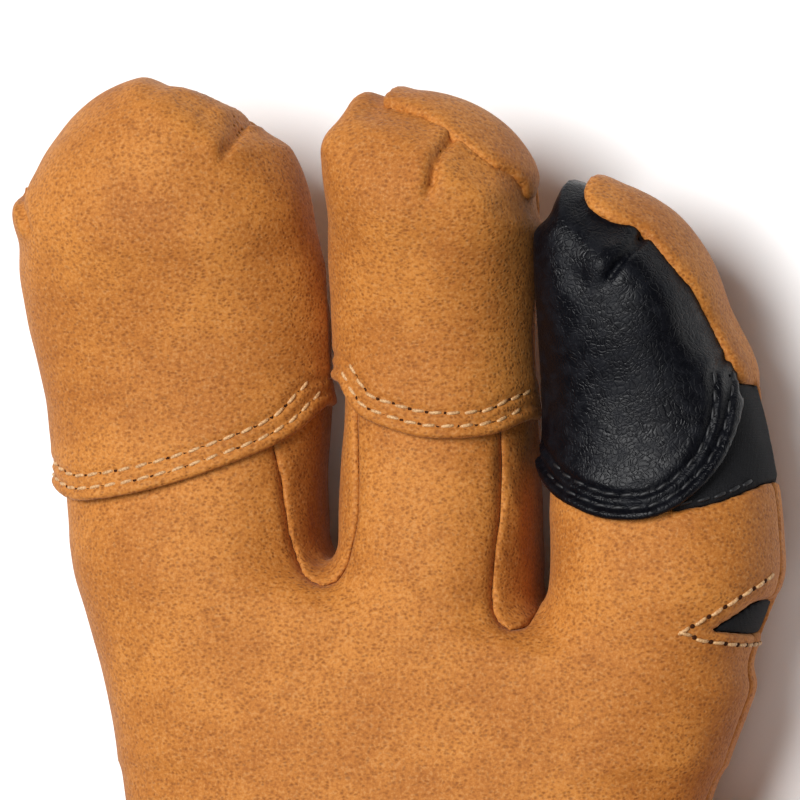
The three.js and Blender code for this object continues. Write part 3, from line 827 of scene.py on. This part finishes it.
def surface_net(grid, low, step):
    """Vertices and quads of the surface where the grid changes sign."""
    inside = grid < 0
    changes = np.zeros(np.array(grid.shape) - 1, bool)
    first = inside[:-1, :-1, :-1]
    for a, b, c in CELL_CORNERS[1:]:
        shifted = inside[a:inside.shape[0] - 1 + a, b:inside.shape[1] - 1 + b, c:inside.shape[2] - 1 + c]
        changes |= shifted != first
    cells = np.argwhere(changes)
    number = np.full(changes.shape, -1, np.int64)
    number[tuple(cells.T)] = np.arange(len(cells))
    values = np.stack([grid[tuple((cells + corner).T)] for corner in CELL_CORNERS], 1)
    total = np.zeros((len(cells), 3))
    count = np.zeros(len(cells))
    for a, b in CELL_EDGES:
        va, vb = values[:, a], values[:, b]
        cross = (va < 0) != (vb < 0)
        share = np.where(cross, va / np.where(cross, va - vb, 1), 0)[:, None]
        spot = CELL_CORNERS[a] + share * (CELL_CORNERS[b] - CELL_CORNERS[a])
        total += spot * cross[:, None]
        count += cross
    vertices = low + (cells + total / count[:, None]) * step
    faces = []
    for axis in range(3):
        u, v = (axis + 1) % 3, (axis + 2) % 3
        near = np.take(inside, np.arange(inside.shape[axis] - 1), axis)
        far = np.take(inside, np.arange(1, inside.shape[axis]), axis)
        edges = np.argwhere(near != far)
        keep = (edges[:, u] > 0) & (edges[:, v] > 0)
        keep &= (edges[:, u] < inside.shape[u] - 1) & (edges[:, v] < inside.shape[v] - 1)
        edges = edges[keep]
        step_u, step_v = np.zeros(3, int), np.zeros(3, int)
        step_u[u] = 1
        step_v[v] = 1
        quad = [edges - step_u - step_v, edges - step_v, edges, edges - step_u]
        quad = np.stack([number[tuple(q.T)] for q in quad], 1)
        flip = ~near[tuple(edges.T)]
        quad[flip] = quad[flip][:, ::-1]
        faces.append(quad)
    return vertices, np.concatenate(faces)


def settled(grid, low, step, vertices, rounds=3):
    """The vertices moved along the grid's slope onto its surface."""
    for _ in range(rounds):
        place = np.clip((vertices - low) / step, 0, np.array(grid.shape) - 1.001)
        cell = np.floor(place).astype(int)
        share = place - cell
        value = 0
        slope = np.zeros_like(vertices)
        for corner in CELL_CORNERS:
            level = grid[tuple((cell + corner).T)]
            weight = np.where(corner, share, 1 - share)
            value = value + level * weight.prod(1)
            for axis in range(3):
                others = [weight[:, other] for other in range(3) if other != axis]
                slope[:, axis] += level * (2 * corner[axis] - 1) * others[0] * others[1] / step
        power = np.maximum((slope * slope).sum(1), 0.2)
        move = -(value / power)[:, None] * slope
        length = np.linalg.norm(move, axis=1)[:, None]
        vertices = vertices + move * np.minimum(1, 0.3 * step / np.maximum(length, 1e-6))
    return vertices


def main_part(vertices, faces):
    """The largest connected part of a mesh."""
    label = np.arange(len(vertices))
    while True:
        low = label[faces].min(1)
        new = label.copy()
        for i in range(4):
            np.minimum.at(new, faces[:, i], low)
        new = new[new]
        if (new == label).all():
            break
        label = new
    roots, counts = np.unique(label, return_counts=True)
    keep = label == roots[counts.argmax()]
    renumber = np.cumsum(keep) - 1
    return vertices[keep], renumber[faces[keep[faces[:, 0]]]]


def add_mesh(name, vertices, faces, material):
    """An object from a mesh in the hand's own frame."""
    mesh = bpy.data.meshes.new(name)
    mesh.from_pydata(((vertices + HOME) * MM).tolist(), [], list(faces))
    mesh.materials.append(material)
    mesh.update()
    mesh.shade_smooth()
    piece = bpy.data.objects.new(name, mesh)
    bpy.context.scene.collection.objects.link(piece)
    return piece


def leather_piece(name, node, field, material, step=SMALL_GRID):
    """A piece of the mitt that stands for its solid, meshed from its field around that solid's box."""
    low, high = (np.array(corner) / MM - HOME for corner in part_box(node))
    low, high = low - BOX_MARGIN, high + BOX_MARGIN
    grid = field(*lattice(low, high, step))
    vertices, faces = surface_net(grid, low, step)
    vertices, faces = main_part(settled(grid, low, step, vertices), faces)
    piece = add_mesh(name, vertices, faces, material)
    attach(piece, "root")
    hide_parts(node)
    print(name, len(faces) * 2, "triangles")


class Material:
    """A procedural material on the Principled shader, with helpers for its nodes."""

    def __init__(self, name, roughness):
        self.data = bpy.data.materials.new(name)
        self.data.use_nodes = True
        self.tree = self.data.node_tree
        self.shader = self.tree.nodes["Principled BSDF"]
        self.shader.inputs["Roughness"].default_value = roughness
        self.place = self.tree.nodes.new("ShaderNodeTexCoord").outputs["Object"]

    def fill(self, socket, value):
        """A socket set to a value or colour, or linked to another node's output."""
        if isinstance(value, bpy.types.NodeSocket):
            self.tree.links.new(value, socket)
        elif socket.type == "RGBA":
            socket.default_value = (*value, 1)
        else:
            socket.default_value = value

    def add(self, kind, sockets, **settings):
        """A new node with its settings made and its sockets filled."""
        node = self.tree.nodes.new("ShaderNode" + kind)
        for name, value in settings.items():
            setattr(node, name, value)
        for name, value in sockets.items():
            self.fill(node.inputs[name], value)
        return node

    def stretched(self, scale):
        """The place scaled by an amount for each axis."""
        return self.add("Mapping", {"Scale": scale, "Vector": self.place}).outputs["Vector"]

    def noise(self, scale, detail=2.0, rough=0.5, place=None):
        sockets = {"Scale": scale, "Detail": detail, "Roughness": rough, "Vector": place or self.place}
        return self.add("TexNoise", sockets).outputs["Fac"]

    def warped(self, scale, amount, place=None):
        """A place pushed about by noise."""
        push = self.noise(scale, 2.0, 0.5, place).node.outputs["Color"]
        sockets = {0: push, 1: (amount, amount, amount), 2: place or self.place}
        return self.add("VectorMath", sockets, operation="MULTIPLY_ADD").outputs["Vector"]

    def cells(self, scale, feature="F1", place=None, spread=1.0):
        sockets = {"Scale": scale, "Randomness": spread, "Vector": place or self.place}
        return self.add("TexVoronoi", sockets, feature=feature).outputs["Distance"]

    def between(self, value, low, high, out_low=0.0, out_high=1.0):
        """A value mapped softly from one span to another."""
        sockets = {"From Min": low, "From Max": high, "To Min": out_low, "To Max": out_high, "Value": value}
        return self.add("MapRange", sockets, interpolation_type="SMOOTHSTEP").outputs["Result"]

    def math(self, operation, a, b):
        return self.add("Math", {0: a, 1: b}, operation=operation).outputs[0]

    def mix(self, share, a, b):
        """Two colours mixed by a share, through the node's colour sockets."""
        return self.add("Mix", {0: share, 6: a, 7: b}, data_type="RGBA").outputs[2]

    def bump(self, height, depth_mm, strength=1.0, below=None):
        sockets = {"Distance": depth_mm * MM, "Strength": strength, "Height": height}
        if below:
            sockets["Normal"] = below
        return self.add("Bump", sockets).outputs["Normal"]

    def finish(self, color, normal, roughness=None):
        for name, value in (("Base Color", color), ("Normal", normal), ("Roughness", roughness)):
            if value:
                self.fill(self.shader.inputs[name], value)
        return self.data


def tan_leather(name, pale, light, middle, dark, pore):
    """Nubuck-like cowhide: clouded tan with small dark pores, and a paler whitish tone painted on the grain
    as sheen.
    """
    look = Material(name, 0.72)
    look.shader.inputs["Specular IOR Level"].default_value = 0.28
    look.shader.inputs["Sheen Weight"].default_value = 0.06
    look.shader.inputs["Sheen Roughness"].default_value = 0.4
    clouds = look.noise(60.0, 3.0, 0.55)
    patches = look.noise(150.0, 3.0, 0.6)
    grain = look.noise(1700.0, 3.0, 0.65)
    bed = look.warped(420.0, 0.0012)
    pores = look.cells(1400.0, "F1", look.warped(420.0, 0.0012, look.stretched((0.8, 1.15, 1.0))))
    dots = look.between(pores, 0.02, 0.6, 1.0, 0.0)
    dots = look.math("MULTIPLY", dots, look.between(pores.node.outputs["Color"], 0.0, 0.7, 0.4, 1.0))
    tone = look.mix(look.between(clouds, 0.36, 0.66), middle, light)
    tone = look.mix(look.between(patches, 0.5, 0.75, 0.0, 0.3), tone, dark)
    tone = look.mix(look.between(grain, 0.48, 0.68, 0.0, 0.55), tone, dark)
    # Painted sheen: the pale tone on part of the fine grain stands in for whitish glints of light on it
    tone = look.mix(look.between(grain, 0.32, 0.5, 0.3, 0.0), tone, pale)
    tone = look.mix(look.math("MULTIPLY", dots, 0.66), tone, pore)
    pebble = look.cells(560.0, "SMOOTH_F1", bed)
    low = look.bump(look.between(pebble, 0.0, 0.9), 0.10, 0.6)
    fine = look.bump(grain, 0.05, 0.5, low)
    pits = look.bump(look.math("SUBTRACT", 1.0, dots), 0.12, 0.7, fine)
    return look.finish(tone, pits)


def black_leather(name):
    """Glossy goatskin with a fine drawn-out pebble."""
    look = Material(name, 0.4)
    look.shader.inputs["Specular IOR Level"].default_value = 0.15
    drawn = look.stretched((1.0, 1.0, 0.8))
    bed = look.warped(260.0, 0.0035, drawn)
    pebble = look.cells(1200.0, "DISTANCE_TO_EDGE", bed)
    small = look.cells(2300.0, "F1", bed)
    waves = look.noise(420.0, 3.0, 0.6, bed)
    tone = look.mix(look.between(waves, 0.4, 0.7), (0.0018, 0.002, 0.0035), (0.004, 0.0045, 0.007))
    low = look.bump(waves, 0.25, 0.35)
    grain = look.bump(look.between(pebble, 0.0, 0.22), 0.08, 0.5, low)
    fine = look.bump(look.between(small, 0.1, 0.7, 1.0, 0.0), 0.03, 0.4, grain)
    rough = look.between(waves, 0.35, 0.7, 0.32, 0.5)
    return look.finish(tone, fine, rough)


def woven_cloth(name, color, scale, roughness):
    """Matt cloth with a fine weave and some fuzz."""
    look = Material(name, roughness)
    look.shader.inputs["Specular IOR Level"].default_value = 0.15
    weave = look.cells(scale, "F1", None, 0.35)
    fuzz = look.noise(scale * 2, 2.0, 0.6)
    bright = tuple(min(1, c * 1.7) for c in color)
    tone = look.mix(look.between(fuzz, 0.35, 0.65), color, bright)
    low = look.bump(look.between(weave, 0.1, 0.6, 1.0, 0.0), 0.08, 0.6)
    return look.finish(tone, look.bump(fuzz, 0.03, 0.4, low))


def thread(name, color, shade):
    """Sewing thread, twisted across its run."""
    look = Material(name, 0.55)
    fibres = look.noise(3200.0, 2.0, 0.6)
    tone = look.mix(look.between(fibres, 0.35, 0.65), shade, color)
    return look.finish(tone, look.bump(fibres, 0.08, 0.6))


# The pale colour is painted sheen on the grain, not a tone of the leather
TAN = tan_leather("tan_leather", pale=(0.64, 0.34, 0.13), light=(0.52, 0.192, 0.031),
                  middle=(0.42, 0.142, 0.020), dark=(0.25, 0.07, 0.009), pore=(0.17, 0.046, 0.006))
BLACK = black_leather("black_leather")
SHELL = woven_cloth("soft_shell", (0.008, 0.008, 0.009), 2400.0, 0.85)
CREAM = thread("cream_thread", (0.66, 0.41, 0.19), (0.40, 0.20, 0.08))
INK = thread("black_thread", (0.012, 0.012, 0.014), (0.004, 0.004, 0.005))
# Painted shade: a near-black brown for the bodies that stand in for the shade inside each needle hole
HOLE_SHADE = woven_cloth("needle_hole_shade", (0.03, 0.008, 0.002), 2400.0, 0.9)

for name, node, field in (("palm", "palm_panel", palm_field), ("back", "back_panel", back_field)):
    leather_piece(name, node, field, TAN, PANEL_GRID)
for gusset in POCKETS:
    leather_piece(gusset + "_leather", gusset, gusset_field(gusset), TAN)
for cap, look, slot in (("wide_cap", TAN, "tan_leather"), ("middle_cap", TAN, "tan_leather"),
                        ("index_cap", BLACK, "black_leather")):
    leather_piece(cap + "_leather", cap, cap_field(cap), look, CAP_GRID)
for node, field in (("side_patch", patch_field), ("vent_insert", insert_field)):
    leather_piece(node + "_cloth", node, field, SHELL)
leather_piece("thumb_leather", "thumb_sheath", thumb_field, TAN, PANEL_GRID)
leather_piece("wrist_hem_leather", "wrist_hem", hem_field, TAN)

# Stitches, and the dark bodies between them painted as the shade in each needle hole, in millimetres
PITCH = 3.1
STITCH_LENGTH = 2.4
THREAD_RADIUS = 0.31
STITCH_SLANT = math.radians(6)
HOLE_RADIUS = 0.44
# Each section's place along a stitch as a share of its length, its height, and its radius as a share
STITCH_ALONG = np.array([-0.5, -0.42, -0.25, 0.0, 0.25, 0.42, 0.5])
STITCH_HIGH = np.array([-0.25, -0.02, 0.1, 0.15, 0.1, -0.02, -0.25])
STITCH_THICK = np.array([0.45, 0.85, 1.0, 1.05, 1.0, 0.85, 0.45])
# Sections of the dark bodies painted as the shade in each needle hole: heights and widths as shares
HOLE_HIGH = np.array([-0.4, 0.0, 0.12])
HOLE_WIDE = np.array([0.3, 1.0, 0.8])


def normals_at(field, points, probe=0.25):
    """The unit directions in which a field grows."""
    slope = np.stack([field(*(points + probe * axis).T) - field(*(points - probe * axis).T)
                      for axis in np.eye(3)], 1)
    return slope / np.linalg.norm(slope, axis=1)[:, None]


def dropped(field, line, top=75.0):
    """The points of a plan line let down onto a face."""
    points = np.column_stack([line, np.full(len(line), top)])
    for _ in range(90):
        gap = field(*points.T)
        points[:, 2] -= np.clip(gap, -1.0, 8.0) * 0.6
    return points[(np.abs(field(*points.T)) < 0.3) & (points[:, 2] > MID_HEIGHT)]


def inset_line(line, inset):
    """A plan line moved to its left."""
    run = np.gradient(line, axis=0)
    run /= np.linalg.norm(run, axis=1)[:, None]
    return line + inset * np.column_stack([-run[:, 1], run[:, 0]])


def swept(centers, sides, ups, radii):
    """Closed bodies of round sections: arrays of bodies, stations and axes."""
    corners = 8
    angle = np.arange(corners) / corners * 2 * math.pi
    ring = (np.cos(angle)[None, None, :, None] * sides[:, None, None, :]
            + np.sin(angle)[None, None, :, None] * ups[:, None, None, :])
    vertices = centers[:, :, None, :] + ring * radii[None, :, None, None]
    bodies, stations = centers.shape[:2]
    faces = []
    for station in range(stations - 1):
        for corner in range(corners):
            after = (corner + 1) % corners
            faces.append([station * corners + corner, station * corners + after,
                          (station + 1) * corners + after, (station + 1) * corners + corner])
    faces = np.array(faces)
    ends = [list(range(corners))[::-1], [(stations - 1) * corners + i for i in range(corners)]]
    every = [(faces + body * stations * corners).tolist() for body in range(bodies)]
    caps = [[[i + body * stations * corners for i in end] for end in ends] for body in range(bodies)]
    return vertices.reshape(-1, 3), sum(every, []) + sum(caps, [])


def add_piece(name, vertices, faces, material, slot):
    """A piece that stands for no solid."""
    piece = add_mesh(name, vertices, np.array(faces, dtype=object), material)
    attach(piece, "root")


def patch_face(x, y, z):
    return outer_distance(x, y, z) + PATCH_SINK


def stitch_row(name, field, route, material, slot, hole_shades=True):
    """Stitches along a route on a face, with dark bodies between them painted as the shade in each needle
    hole.
    """
    route = curve_through(route, PITCH)
    ups = normals_at(field, route)
    route = route - field(*route.T)[:, None] * ups
    runs = np.gradient(route, axis=0)
    runs /= np.linalg.norm(runs, axis=1)[:, None]
    sides = np.cross(ups, runs)
    lean = runs * math.cos(STITCH_SLANT) + sides * math.sin(STITCH_SLANT)
    across = np.cross(ups, lean)
    along = STITCH_ALONG * STITCH_LENGTH
    centers = (route[:, None, :] + along[None, :, None] * lean[:, None, :]
               + STITCH_HIGH[None, :, None] * ups[:, None, :])
    add_piece(name, *swept(centers, across, ups, STITCH_THICK * THREAD_RADIUS), material, slot)
    # Painted shade: dark bodies between the stitches, a little proud of the face, stand in for the shade in
    # each needle hole
    if hole_shades:
        middle = (route[1:] + route[:-1]) / 2
        up = normals_at(field, middle)
        middle = middle - field(*middle.T)[:, None] * up
        side = sides[:-1]
        depth = middle[:, None, :] + HOLE_HIGH[None, :, None] * up[:, None, :]
        bodies = swept(depth, side, np.cross(up, side), HOLE_WIDE * HOLE_RADIUS)
        add_piece(name + "_holes", *bodies, HOLE_SHADE, slot)


for cap, (cord, slot, hole_shades) in {
    "wide_cap": (CREAM, "cream_thread", True),
    "middle_cap": (CREAM, "cream_thread", True),
    "index_cap": (INK, "black_thread", False),
}.items():
    face = cap_surface(cap)
    for number, inset in enumerate(ROW_INSETS, 1):
        line = inset_line(HEMS[cap], inset)
        stitch_row(f"{cap}_stitches_{number}", face, dropped(face, line), cord, slot, hole_shades)

for name, pixels in VENT_STITCH_PX.items():
    stitch_row(name, outer_distance, surface_points(pixels, 0.0, outer_distance), CREAM, "cream_thread")
patch_line = inset_line(PATCH_LOW, 1.0)
stitch_row("patch_stitches", patch_face, dropped(patch_face, patch_line)[1:-1], INK, "black_thread", False)


def add_camera():
    """The camera at the photograph's angle, framed as its pixels are."""
    data = bpy.data.cameras.new("camera")
    data.sensor_width = 36.0
    data.lens = data.sensor_width * VIEW_DISTANCE / (PHOTO_PIXELS * PIXEL)
    data.clip_end = 20.0
    camera = bpy.data.objects.new("camera", data)
    turn = Matrix((VIEW_RIGHT, VIEW_UP, VIEW_BACK)).transposed().to_4x4()
    camera.matrix_world = Matrix.Translation(Vector((EYE + HOME) * MM)) @ turn
    bpy.context.scene.collection.objects.link(camera)
    bpy.context.scene.camera = camera


def add_light(name, place, target, size, power):
    """A square soft light that faces a target."""
    data = bpy.data.lights.new(name, "AREA")
    data.size = size
    data.energy = power
    light = bpy.data.objects.new(name, data)
    light.location = place
    light.rotation_euler = (Vector(target) - Vector(place)).to_track_quat("-Z", "Y").to_euler()
    bpy.context.scene.collection.objects.link(light)


def add_stage():
    """A plain pale floor, the surroundings and two soft lights."""
    floor_mesh = bpy.data.meshes.new("floor")
    half = 4.0
    floor_mesh.from_pydata([(-half, -half, 0), (half, -half, 0), (half, half, 0), (-half, half, 0)], [],
                           [(0, 1, 2, 3)])
    ground = Material("floor", 0.9)
    speckle = ground.noise(40.0, 2.0, 0.5)
    tone = ground.mix(ground.between(speckle, 0.3, 0.7), (0.93, 0.93, 0.93), (0.95, 0.95, 0.95))
    floor_mesh.materials.append(ground.finish(tone, ground.bump(speckle, 0.01, 0.1)))
    floor = bpy.data.objects.new("floor", floor_mesh)
    floor.location.z = -0.0004
    bpy.context.scene.collection.objects.link(floor)
    world = bpy.data.worlds.new("world")
    world.use_nodes = True
    world.node_tree.nodes["Background"].inputs["Color"].default_value = (1, 1, 1, 1)
    world.node_tree.nodes["Background"].inputs["Strength"].default_value = 0.11
    bpy.context.scene.world = world
    bpy.context.scene.view_settings.view_transform = "Standard"
    add_light("key", place=(-0.9, 0.7, 2.8), target=(0, 0.02, 0.02), size=1.5, power=114)
    add_light("fill", place=(0.2, -0.6, 1.6), target=(0, 0, 0.02), size=1.2, power=7)


add_camera()
add_stage()
